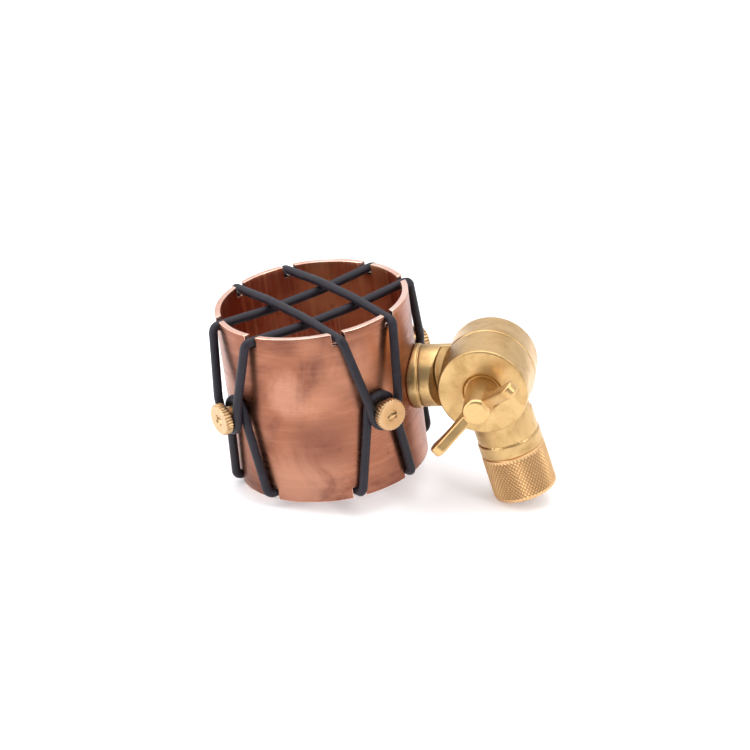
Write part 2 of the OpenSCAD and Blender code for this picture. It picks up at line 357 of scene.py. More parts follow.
class Shader:
    """A Principled material whose nodes are added by short calls."""

    def __init__(self, name: str, metallic: float, roughness: float) -> None:
        """Makes the material.

        Args:
            name: The material's name.
            metallic: Metallic value, constant over the surface.
            roughness: Roughness, unless a node is linked to it.
        """
        self.material = bpy.data.materials.new(name)
        self.material.use_nodes = True
        self.tree = self.material.node_tree
        self.surface = self.tree.nodes["Principled BSDF"]
        self.surface.inputs["Metallic"].default_value = metallic
        self.surface.inputs["Roughness"].default_value = roughness
        self.coords = self.tree.nodes.new("ShaderNodeTexCoord").outputs["Object"]

    def link(self, source: Socket, target: Socket) -> None:
        """Joins two sockets."""
        self.tree.links.new(source, target)

    def stretched(self, scale: tuple[float, float, float]) -> Socket:
        """Object coordinates scaled along each axis."""
        node = self.tree.nodes.new("ShaderNodeMapping")
        node.inputs["Scale"].default_value = scale
        self.link(self.coords, node.inputs["Vector"])
        return node.outputs["Vector"]

    def noise(self, scale: float, detail: float = 4.0, rough: float = 0.55,
              coords: Socket | None = None, distortion: float = 0.0) -> Socket:
        """Noise from 0 to 1.

        Args:
            scale: Number of features in a metre.
            detail: Number of finer layers.
            rough: Strength of the finer layers.
            coords: Coordinates to read, or None for the piece's own.
            distortion: How far the pattern is bent.

        Returns:
            The noise's value socket.
        """
        node = self.tree.nodes.new("ShaderNodeTexNoise")
        node.inputs["Scale"].default_value = scale
        node.inputs["Detail"].default_value = detail
        node.inputs["Roughness"].default_value = rough
        node.inputs["Distortion"].default_value = distortion
        self.link(coords or self.coords, node.inputs["Vector"])
        return node.outputs["Fac"]

    def spread(self, value: Socket, low: float, high: float, to_low: float = 0.0,
               to_high: float = 1.0) -> Socket:
        """Maps a value's range to another, smoothly and clamped.

        Args:
            value: The value to map.
            low: Value that maps to to_low.
            high: Value that maps to to_high.
            to_low: Lowest result.
            to_high: Highest result.

        Returns:
            The mapped value's socket.
        """
        node = self.tree.nodes.new("ShaderNodeMapRange")
        node.interpolation_type = "SMOOTHSTEP"
        for name, number in zip(("From Min", "From Max", "To Min", "To Max"), (low, high, to_low, to_high)):
            node.inputs[name].default_value = number
        self.link(value, node.inputs["Value"])
        return node.outputs["Result"]

    def blend(self, factor: Socket, a: Socket | Sequence[float], b: Socket | Sequence[float],
              mode: str = "MIX") -> Socket:
        """Mixes two colours.

        Args:
            factor: How much of b shows.
            a: First colour, or its socket.
            b: Second colour, or its socket.
            mode: Blend type.

        Returns:
            The mixed colour's socket.
        """
        node = self.tree.nodes.new("ShaderNodeMix")
        node.data_type = "RGBA"
        node.blend_type = mode
        self.link(factor, node.inputs["Factor"])
        for colour, socket in ((a, node.inputs[6]), (b, node.inputs[7])):
            if isinstance(colour, bpy.types.NodeSocket):
                self.link(colour, socket)
            else:
                socket.default_value = (*colour, 1.0)
        return node.outputs[2]

    def math(self, how: str, a: Socket, b: Socket | float) -> Socket:
        """Combines two values with a Math node."""
        node = self.tree.nodes.new("ShaderNodeMath")
        node.operation = how
        self.link(a, node.inputs[0])
        if isinstance(b, bpy.types.NodeSocket):
            self.link(b, node.inputs[1])
        else:
            node.inputs[1].default_value = b
        return node.outputs[0]

    def attribute(self, name: str) -> Socket:
        """Value of one of the mesh's own attributes."""
        node = self.tree.nodes.new("ShaderNodeAttribute")
        node.attribute_name = name
        return node.outputs["Fac"]

    def patch(self, at: tuple[float, float, float], radius: float, edge: Socket) -> Socket:
        """A soft round patch about a point of the piece, with an uneven edge.

        Args:
            at: The patch's middle, in millimetres.
            radius: Its radius, in millimetres.
            edge: A noise that makes its edge uneven.

        Returns:
            A factor that is 1 in the middle and 0 outside.
        """
        far = self.tree.nodes.new("ShaderNodeVectorMath")
        far.operation = "DISTANCE"
        self.link(self.coords, far.inputs[0])
        far.inputs[1].default_value = [c * MM for c in at]
        ragged = 0.3 * radius * MM
        uneven = self.math("ADD", far.outputs["Value"], self.spread(edge, 0.3, 0.7, -ragged, ragged))
        return self.spread(uneven, 0.2 * radius * MM, radius * MM, 1.0, 0.0)

    def bump(self, height: Socket, distance: float, strength: float = 1.0) -> None:
        """Adds relief on top of any relief already there.

        Args:
            height: Height from 0 to 1.
            distance: Depth of the relief, in millimetres.
            strength: Share of it that shows.
        """
        node = self.tree.nodes.new("ShaderNodeBump")
        node.inputs["Distance"].default_value = distance * MM
        node.inputs["Strength"].default_value = strength
        self.link(height, node.inputs["Height"])
        normal = self.surface.inputs["Normal"]
        if normal.is_linked:
            self.link(normal.links[0].from_socket, node.inputs["Normal"])
        self.link(node.outputs["Normal"], normal)

    def colour(self, value: Socket) -> None:
        """Sets the base colour."""
        self.link(value, self.surface.inputs["Base Color"])

    def roughness(self, value: Socket) -> None:
        """Sets the roughness."""
        self.link(value, self.surface.inputs["Roughness"])


class Brushing(Enum):
    """Which way a surface was brushed: scales of its fine and its long lines, in features to the metre."""

    ROUND = ((120, 120, 2400), (45, 45, 420))
    ALONG = ((2600, 2600, 22), (700, 700, 9))


@dataclass(frozen=True)
class CopperFinish:
    """Drawn copper, handled and a little tarnished, with patches of painted highlight."""

    name: str
    base: tuple[float, float, float]
    tarnish: tuple[float, float, float]
    glow: tuple[float, float, float]
    roughness: float
    streaks_and_reflections: float
    brushed: Brushing
    relief: float = 0.45
    # Patches of painted highlight: x, y, z and radius in millimetres, and weight.
    rubbed_and_highlights: tuple[Mark, ...] = ()
    stained: tuple[Mark, ...] = ()

    def material(self) -> bpy.types.Material:
        """Builds the material: cloudy tarnish, brushed lines whose brighter streaks on the inside also stand in as
        painted reflections, small stains and patches of painted highlight.
        """
        shader = Shader(self.name, 1.0, self.roughness)
        fine, long = self.brushed.value
        lines = shader.noise(1.0, 3.0, 0.6, shader.stretched(fine))
        long_lines = shader.noise(1.0, 2.0, 0.5, shader.stretched(long))
        clouds = shader.noise(48, 5.0, 0.62, distortion=0.6)
        rubbed_and_highlights = shader.noise(26, 2.0, 0.5)
        spots = shader.noise(420, 3.0, 0.6)
        colour = shader.blend(shader.spread(clouds, 0.42, 0.72), self.base, self.tarnish)
        # Long lines painted brighter: brushing, and on the inside also painted reflections of the wall's ridges.
        colour = shader.blend(shader.spread(long_lines, 0.45, 0.75, 0.0, self.streaks_and_reflections), colour, self.glow)
        colour = shader.blend(shader.spread(rubbed_and_highlights, 0.5, 0.68, 0.0, 0.75), colour, self.glow)
        colour = shader.blend(shader.spread(spots, 0.62, 0.75, 0.0, 0.35), colour, self.tarnish)
        # Painted highlights: the first set of patches is painted in a brighter copper where a light's glint falls;
        # the second set is darker stains.
        painted_highlight_tone = tuple(min(1.0, c + 0.05) for c in self.glow)
        for marks, tone in ((self.rubbed_and_highlights, painted_highlight_tone), (self.stained, self.tarnish)):
            for x, y, z, radius, weight in marks:
                patch = shader.math("MULTIPLY", shader.patch((x, y, z), radius, clouds), weight)
                colour = shader.blend(patch, colour, tone)
        shader.colour(colour)
        rough = shader.spread(lines, 0.3, 0.7, self.roughness - 0.05, self.roughness + 0.08)
        shader.roughness(shader.math("ADD", rough, shader.spread(clouds, 0.4, 0.75, 0.0, 0.09)))
        shader.bump(lines, 0.008, self.relief)
        shader.bump(clouds, 0.25, 0.35)
        return shader.material


@dataclass(frozen=True)
class RubberFinish:
    """Matte synthetic rubber cord."""

    name: str
    base: tuple[float, float, float]
    dust: tuple[float, float, float]

    def material(self) -> bpy.types.Material:
        """Builds the material: a fine skin, faint dust and slight scuffs."""
        shader = Shader(self.name, 0.0, 0.5)
        skin = shader.noise(5200, 3.0, 0.6)
        dust = shader.noise(160, 4.0, 0.6)
        shader.colour(shader.blend(shader.spread(dust, 0.42, 0.75, 0.0, 0.55), self.base, self.dust))
        shader.roughness(shader.spread(dust, 0.3, 0.75, 0.42, 0.62))
        shader.bump(skin, 0.02, 0.5)
        shader.surface.inputs["Specular IOR Level"].default_value = 0.32
        shader.surface.inputs["Sheen Weight"].default_value = 0.05
        shader.surface.inputs["Sheen Roughness"].default_value = 0.4
        shader.surface.inputs["Sheen Tint"].default_value = (0.62, 0.66, 0.85, 1.0)
        return shader.material


@dataclass(frozen=True)
class BrassFinish:
    """Brass, from a rough casting to a hand-polished piece."""

    name: str
    base: tuple[float, float, float]
    patina: tuple[float, float, float]
    roughness: float
    mottle: float
    grain: float
    # Whether the grooves of a knurl get painted shade.
    depth: bool = False

    def material(self) -> bpy.types.Material:
        """Builds the material: mottled patina, a fine grain and, on a knurl, painted shade in the grooves."""
        shader = Shader(self.name, 1.0, self.roughness)
        mottle = shader.noise(130, 5.0, 0.62, distortion=0.4)
        fine = shader.noise(1500, 3.0, 0.6)
        scratches = shader.noise(1.0, 2.0, 0.5, shader.stretched((300, 900, 2400)))
        colour = shader.blend(shader.spread(mottle, 0.4, 0.75, 0.0, self.mottle), self.base, self.patina)
        colour = shader.blend(shader.spread(fine, 0.55, 0.8, 0.0, self.mottle * 0.5), colour, self.patina)
        # Painted shade: the grooves, weighted by the mesh's groove attribute, are darkened as shade would darken
        # them.
        if self.depth:
            groove = shader.spread(shader.attribute("groove"), 0.0, 1.0)
            dark = tuple(0.85 * c for c in self.patina)
            colour = shader.blend(groove, colour, dark)
        shader.colour(colour)
        rough = shader.spread(mottle, 0.3, 0.75, self.roughness - 0.04, self.roughness + 0.12)
        shader.roughness(shader.math("ADD", rough, shader.spread(scratches, 0.5, 0.8, 0.0, 0.06)))
        shader.bump(fine, self.grain, 0.5)
        shader.bump(mottle, 2.5 * self.grain, 0.5)
        shader.bump(scratches, 0.006, 0.5)
        return shader.material


@dataclass(frozen=True)
class PlainFinish:
    """A small hidden piece's finish, with a fine grain."""

    name: str
    base: tuple[float, float, float]
    dark: tuple[float, float, float]
    metallic: float
    roughness: float

    def material(self) -> bpy.types.Material:
        """Builds the material."""
        shader = Shader(self.name, self.metallic, self.roughness)
        grain = shader.noise(900, 4.0, 0.6)
        shader.colour(shader.blend(shader.spread(grain, 0.4, 0.7), self.base, self.dark))
        shader.roughness(shader.spread(grain, 0.3, 0.7, self.roughness - 0.05, self.roughness + 0.1))
        shader.bump(grain, 0.02, 0.5)
        return shader.material


class Finishes:
    """Every finish of the cradle, made once."""

    def __init__(self) -> None:
        """Builds the materials."""
        self.copper = CopperFinish("copper_outside", (0.305, 0.119, 0.071), (0.155, 0.060, 0.043),
                                   (0.50, 0.225, 0.135), 0.31, 0.28, Brushing.ROUND,
                                   # Painted highlights: two brighter patches on the front of the tube stand in for a
                                   # light's glint; one darker stain.
                                   rubbed_and_highlights=((-3.5, -33.1, 10.0, 10.0, 0.6), (-2.0, -33.3, -25.0, 17.0, 0.6)),
                                   stained=((5.0, -33.0, -8.0, 11.0, 0.5),)).material()
        # Inside: strong long streaks painted into the colour stand in for reflections as well as brushing.
        self.copper_inside = CopperFinish("copper_inside", (0.52, 0.155, 0.085), (0.27, 0.066, 0.038),
                                          (0.80, 0.40, 0.20), 0.38, 0.6, Brushing.ALONG).material()
        self.copper_cut = CopperFinish("copper_cut_edge", (0.90, 0.56, 0.44), (0.66, 0.32, 0.22),
                                       (1.0, 0.78, 0.68), 0.2, 0.4, Brushing.ROUND, 1.0).material()
        self.rubber = RubberFinish("rubber_band", (0.011, 0.009, 0.014), (0.032, 0.026, 0.040)).material()
        self.nut = BrassFinish("brass_nut", (0.64, 0.43, 0.24), (0.44, 0.26, 0.11), 0.32, 0.45, 0.012,
                               True).material()
        self.post = BrassFinish("brass_post", (0.66, 0.45, 0.23), (0.42, 0.25, 0.1), 0.3, 0.5, 0.01).material()
        self.cast = BrassFinish("brass_casting", (0.62, 0.41, 0.185), (0.38, 0.225, 0.08), 0.32, 0.7,
                                0.03).material()
        self.wing = BrassFinish("brass_wing", (0.66, 0.43, 0.19), (0.42, 0.23, 0.07), 0.33, 0.5,
                                0.008).material()
        self.knurl = BrassFinish("brass_knurl", (0.84, 0.55, 0.28), (0.56, 0.33, 0.145), 0.36, 0.4, 0.012,
                                 True).material()
        self.steel = PlainFinish("zinc_steel", (0.62, 0.62, 0.6), (0.4, 0.4, 0.4), 1.0, 0.32).material()
        self.fibre = PlainFinish("fibre_washer", (0.28, 0.17, 0.10), (0.2, 0.11, 0.07), 0.0, 0.7).material()


def dress(obj: bpy.types.Object, body: str, finish: bpy.types.Material,
          stands_for: Iterable[str] = ()) -> None:
    """Gives a piece its material, its body and the nodes it stands for.

    Args:
        obj: The piece.
        body: The body it rides on.
        finish: Its material, unless it already has materials.
        stands_for: The nodes it replaces.
    """
    if not obj.data.materials:
        obj.data.materials.append(finish)
    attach(obj, body)
    if stands_for:
        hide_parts(*stands_for)
    log.info("%s: %d faces on %s", obj.name, len(obj.data.polygons), body)


# ------------------------------------------------------------------ the copper tube


class Skin(IntEnum):
    """The tube's material slots."""

    OUTSIDE = 0
    INSIDE = 1
    CUT = 2


@dataclass
class Tube:
    """The copper tube with eight notches in each rim."""

    finishes: Finishes
    column_step: float = 1.25
    rows: int = 30
    filed: float = 0.16
    sprung: float = 0.12
    edge: float = 0.22
    straight: float = 0.4

    def local_columns(self) -> list[float]:
        """Distances across a quarter of the tube, from its post's axis, at the outer wall's columns."""
        s = SIZES
        half = s.notch_w / 2
        limit = s.tube_r * math.sin(math.pi / 4)
        stops = [-limit, -s.strand_offset - half, -s.strand_offset + half,
                 s.strand_offset - half, s.strand_offset + half, limit]
        columns: list[float] = []
        for a, b in zip(stops, stops[1:]):
            start, stop = math.asin(a / s.tube_r), math.asin(b / s.tube_r)
            count = max(2, round(math.degrees(stop - start) / self.column_step))
            columns += [s.tube_r * math.sin(start + (stop - start) * i / count) for i in range(count)]
        return columns

    def wall(self, bm: bmesh.types.BMesh, r: float) -> list[bmesh.types.BMEdge]:
        """Adds one face of the tube's wall, with the notches open.

        Args:
            bm: The bmesh to add to.
            r: The wall's radius.

        Returns:
            The wall's boundary edges.
        """
        s = SIZES
        across = self.local_columns()
        edge = s.tube_h / 2 - s.notch_depth
        heights = [-s.tube_h / 2, -s.tube_h / 2 + s.notch_depth / 2]
        heights += [-edge + 2 * edge * i / self.rows for i in range(self.rows + 1)]
        heights += [s.tube_h / 2 - s.notch_depth / 2, s.tube_h / 2]
        columns = len(across) * len(POST_ANGLES)
        made = bmesh.ops.create_grid(bm, x_segments=columns, y_segments=len(heights) - 1, size=0.5)["verts"]
        for vert in made:
            column = round((vert.co.x + 0.5) * columns)
            row = round((vert.co.y + 0.5) * (len(heights) - 1))
            post, index = divmod(column, len(across))
            side = across[index]
            outer_angle = math.asin(side / s.tube_r)
            inner_angle = math.asin(max(-1.0, min(1.0, side / r)))
            fade = max(0.0, 1.0 - max(0.0, abs(outer_angle) - self.straight) / (math.pi / 4 - self.straight))
            angle = outer_angle + (inner_angle - outer_angle) * fade
            angle += math.radians(POST_ANGLES[post % len(POST_ANGLES)])
            vert.co = Vector((r * math.cos(angle), r * math.sin(angle), heights[row]))
        bmesh.ops.remove_doubles(bm, verts=made, dist=1e-3)
        made = [v for v in made if v.is_valid]
        faces = {f for v in made for f in v.link_faces}
        bmesh.ops.delete(bm, geom=[f for f in faces if self.in_notch(f.calc_center_median(), r)], context="FACES")
        return [e for v in made if v.is_valid for e in v.link_edges if e.is_boundary]

    def in_notch(self, point: Vector, r: float) -> bool:
        """Whether a point of the wall lies in one of the notches."""
        s = SIZES
        if abs(point.z) < s.tube_h / 2 - s.notch_depth:
            return False
        return any(
            abs(abs(-point.x * math.sin(math.radians(a)) + point.y * math.cos(math.radians(a)))
                - s.strand_offset) < s.notch_w / 2
            for a in POST_ANGLES[:2])

    def make(self) -> None:
        """Builds the tube, files its rims by hand and rounds its cut edges."""
        s = SIZES
        bm = bmesh.new()
        inner_r = s.tube_r - s.tube_wall
        edges = self.wall(bm, s.tube_r) + self.wall(bm, inner_r)
        for top in (True, False):
            ring = list({e for e in edges if e.is_valid and (e.verts[0].co.z > 0) == top})
            bmesh.ops.bridge_loops(bm, edges=ring)
        bmesh.ops.recalc_face_normals(bm, faces=bm.faces)
        for face in bm.faces:
            centre = face.calc_center_median()
            radius = math.hypot(centre.x, centre.y)
            on_wall = abs(face.normal.z) < 0.3 and abs(face.normal.xy.normalized().dot(
                centre.xy.normalized())) > 0.95
            wall = Skin.OUTSIDE if radius > s.tube_r - 0.5 * s.tube_wall else Skin.INSIDE
            face.material_index = wall if on_wall else Skin.CUT
        self.hand_work(bm)
        tube = to_object(bm, "copper_tube")
        for finish in (self.finishes.copper, self.finishes.copper_inside, self.finishes.copper_cut):
            tube.data.materials.append(finish)
        edge_round(tube, self.edge, 2, Skin.CUT)
        dress(tube, "cradle", self.finishes.copper, ["shell"])

    def hand_work(self, bm: bmesh.types.BMesh) -> None:
        """Lets the filed rims wander a little, and the tube lose a little of its roundness."""
        s = SIZES
        for vert in bm.verts:
            spot = Vector(vert.co)
            rim = max(0.0, (abs(spot.z) - s.tube_h / 2 + 2 * s.notch_depth) / (2 * s.notch_depth))
            wander = noise.noise(spot * 0.09) * self.filed - self.filed * 0.6
            vert.co.z += math.copysign(wander * rim, spot.z)
            out = spot.xy.normalized()
            push = (noise.noise(Vector((spot.x * 0.05, spot.y * 0.05, spot.z * 0.03 + 7.0))) - 0.5) * self.sprung
            vert.co.xy += out * push


# ------------------------------------------------------------------ the bands


@dataclass
class Bands:
    """Four closed rubber loops, two across each end of the tube."""

    finishes: Finishes
    arc_steps: int = 10
    sides: int = 20
    strand_r: float = 14.0
    knee_r: float = 10.0

    def corners(self, level: float, lift: float) -> list[tuple[Vector, float]]:
        """Corners of one loop and the radius of each bend.

        Args:
            level: Distance from the tube's axis at the posts.
            lift: Rise of the strands in the middle, where they pass the other loop.

        Returns:
            Corner points and bend radii, in order.
        """
        s = SIZES
        wrap = s.sleeve_r + s.seat_gap + s.band_r
        edge_x = math.sqrt(s.tube_r ** 2 - s.strand_offset ** 2)
        edge_z = s.tube_h / 2 - s.notch_depth
        shift = s.rim_bend_r - (s.rim_bend_r - s.band_r - s.edge_gap) / math.sqrt(2)
        rim_x, strand_z, off = edge_x + shift, edge_z + shift, s.strand_offset
        lean = math.atan2(off, strand_z) - math.asin(wrap / math.hypot(off, strand_z))
        foot = wrap * math.tan((math.pi / 2 - lean) / 2)
        knee = foot + 2 * wrap * math.tan(lean)
        half = [((-off, off, strand_z + lift), self.strand_r), ((off, off, strand_z + lift), self.strand_r),
                ((rim_x, off, strand_z), s.rim_bend_r), ((level, knee, wrap), self.knee_r),
                ((level, foot, -wrap), wrap), ((level, -foot, -wrap), wrap),
                ((level, -knee, wrap), self.knee_r), ((rim_x, -off, strand_z), s.rim_bend_r)]
        turned_half = [((-x, -y, z), r) for (x, y, z), r in half]
        return [(Vector(p), r) for p, r in half + turned_half]

    def path(self, level: float, lift: float) -> list[Vector]:
        """Points along one loop, with its bends rounded and its straights divided."""
        corners = self.corners(level, lift)
        points: list[Vector] = []
        for i, (here, r) in enumerate(corners):
            before = (corners[i - 1][0] - here).normalized()
            after = (corners[(i + 1) % len(corners)][0] - here).normalized()
            points += corner_arc(here, before, after, r, self.arc_steps)
        kept = [p for i, p in enumerate(points) if (p - points[i - 1]).length > 0.01]
        divided: list[Vector] = []
        for i, p in enumerate(kept):
            gap = kept[(i + 1) % len(kept)] - p
            count = max(1, round(gap.length / (2 * SIZES.band_d)))
            divided += [p + gap * k / count for k in range(count)]
        return divided

    def make(self) -> None:
        """Builds the four loops."""
        s = SIZES
        weave = (s.band_d + s.seat_gap) / 2
        plan = [("upper_band_a", 135, s.outer_level, weave, 1), ("upper_band_b", 45, s.outer_level, -weave, 1),
                ("lower_band_a", 135, s.inner_level, weave, -1), ("lower_band_b", 45, s.inner_level, -weave, -1)]
        for name, direction, level, lift, side in plan:
            turn = Matrix.Rotation(math.radians(direction), 3, "Z")
            flip = Matrix.Diagonal((1, 1, side))
            points = [flip @ turn @ p for p in self.path(level, lift)]
            band = self.loop(f"{name}_cord", points)
            dress(band, "cradle", self.finishes.rubber, [name])

    def loop(self, name: str, points: Sequence[Vector]) -> bpy.types.Object:
        """A round closed cord along a path.

        Args:
            name: The piece's name.
            points: The path, in millimetres.

        Returns:
            The cord, as a mesh.
        """
        curve = bpy.data.curves.new(name, "CURVE")
        curve.dimensions = "3D"
        curve.bevel_depth = SIZES.band_r * MM
        curve.bevel_resolution = (self.sides - 4) // 4
        curve.twist_mode = "MINIMUM"
        spline = curve.splines.new("POLY")
        spline.points.add(len(points) - 1)
        spline.use_cyclic_u = True
        for point, at in zip(spline.points, points):
            point.co = (*(at * MM), 1.0)
            point.radius = 1.0 + 0.012 * noise.noise(at * 0.2)
        source = bpy.data.objects.new(name + "_path", curve)
        bpy.context.scene.collection.objects.link(source)
        bpy.context.view_layer.update()
        depsgraph = bpy.context.evaluated_depsgraph_get()
        mesh = bpy.data.meshes.new_from_object(source.evaluated_get(depsgraph))
        bpy.data.objects.remove(source)
        bpy.data.curves.remove(curve)
        bm = bmesh.new()
        bm.from_mesh(mesh)
        bpy.data.meshes.remove(mesh)
        bmesh.ops.remove_doubles(bm, verts=bm.verts, dist=1e-7)
        bmesh.ops.recalc_face_normals(bm, faces=bm.faces)
        return to_object(bm, name, 180.0, 1.0)


# ------------------------------------------------------------------ posts and nuts


@dataclass
class Posts:
    """The four posts: slotted screw, sleeve and knurled thumb nut."""

    finishes: Finishes
    teeth: int = 30
    tooth_h: float = 0.42
    chamfer: float = 0.45
    hole_r: float = 1.75
    slot_w: float = 0.75
    head_r: float = 3.7
    head_t: float = 2.4
    head_slot: float = 1.25
    tip_slot: float = 0.6

    def ringed(self, rings: Sequence[tuple[float, float, float]]) -> bmesh.types.BMesh:
        """A knurled round piece built ring by ring with extruded edges.

        Args:
            rings: For each ring, its radius, its height and how deep its teeth are.

        Returns:
            A bmesh open at both ends.
        """
        count = self.teeth * 4
        bm = bmesh.new()
        groove = bm.verts.layers.float.new("groove")
        verts = bmesh.ops.create_circle(bm, segments=count, radius=1.0)["verts"]
        ring = [(v, math.atan2(v.co.y, v.co.x)) for v in verts]
        edges = bm.edges[:]
        for i, (radius, height, depth) in enumerate(rings):
            if i:
                fresh, edges = grown(bm, edges)
                ring = [(v, math.atan2(v.co.y, v.co.x)) for v in fresh]
            for vert, angle in ring:
                phase = (angle / TAU * self.teeth) % 1.0
                dip = max(0.0, 1.0 - abs(phase - 0.5) / 0.38)
                # Weight of the painted shade in the teeth's valleys.
                vert[groove] = dip if depth > 0.1 else 0.0
                r = radius - depth * dip
                vert.co = Vector((r * math.cos(angle), r * math.sin(angle), height))
        return bm

    def nut(self, index: int, angle: float) -> None:
        """Builds one thumb nut with a chamfered face and a slotted screw tip's recess."""
        s = SIZES
        r, h, c, t = s.nut_r, s.nut_h, self.chamfer, self.tooth_h
        bore = s.post_screw_r + s.seat_gap
        rings = [(bore, 0.0, 0.0), (r - c - 0.1, 0.0, 0.0), (r - 0.15, c * 0.6, t * 0.6), (r, c, t),
                 (r, h - c, t), (r - 0.12, h - 0.6 * c, t * 0.8), (r - c, h - 0.06, 0.1), (r - c - 0.12, h, 0.0),
                 (self.hole_r + 0.5, h, 0.0), (self.hole_r + 0.28, h - 0.05, 0.0), (self.hole_r, h - 0.55, 0.0),
                 (bore, h - 0.75, 0.0)]
        bm = self.ringed(rings)
        low = [e for e in bm.edges if e.is_boundary and e.verts[0].co.z < 0.1]
        high = [e for e in bm.edges if e.is_boundary and e.verts[0].co.z > h - 0.8]
        bmesh.ops.bridge_loops(bm, edges=low + high)
        bmesh.ops.recalc_face_normals(bm, faces=bm.faces)
        place(bm, along_post(angle) @ Matrix.Translation((0, 0, s.nut_back)))
        nut = to_object(bm, f"knurled_nut_{index}", 28)
        dress(nut, f"nut_{index}", self.finishes.nut, [f"thumb_nut_{index}"])

    def post_screw(self, index: int, angle: float) -> None:
        """Builds one post screw, with a slotted pan head inside the tube and a slotted tip."""
        s = SIZES
        inner = s.tube_r - s.tube_wall
        seat = math.sqrt(inner ** 2 - self.head_r ** 2) - s.seat_gap
        top = seat - self.head_t
        tip = s.nut_back + s.nut_h - 0.4
        shank = s.post_screw_r
        outline = rounded([(0, top), (self.head_r, top), (self.head_r, seat), (shank, seat),
                           (shank, tip), (0, tip)], [0, 1.1, 0.25, 0, 0.5, 0])
        turn = Matrix.Rotation(math.radians(25 * index), 4, "Z")
        screw = to_object(place(turned(outline, 40), along_post(angle)), f"slotted_post_screw_{index}")
        for height, deep in ((top, self.head_slot), (tip, self.tip_slot)):
            cut_slot(screw, along_post(angle) @ Matrix.Translation((0, 0, height)) @ turn, self.slot_w, deep)
        dress(screw, "cradle", self.finishes.post, [f"post_screw_{index}"])

    def make(self) -> None:
        """Builds the four posts and dresses the sleeves."""
        for index, angle in enumerate(POST_ANGLES, 1):
            self.nut(index, angle)
            self.post_screw(index, angle)
            repaint(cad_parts[f"post_sleeve_{index}"], self.finishes.post)


def repaint(node: bpy.types.Object, finish: bpy.types.Material) -> None:
    """Gives a carried-over node a new material."""
    node.data.materials.clear()
    node.data.materials.append(finish)
    log.info("%s: repainted", node.name)


# ------------------------------------------------------------------ the swivel


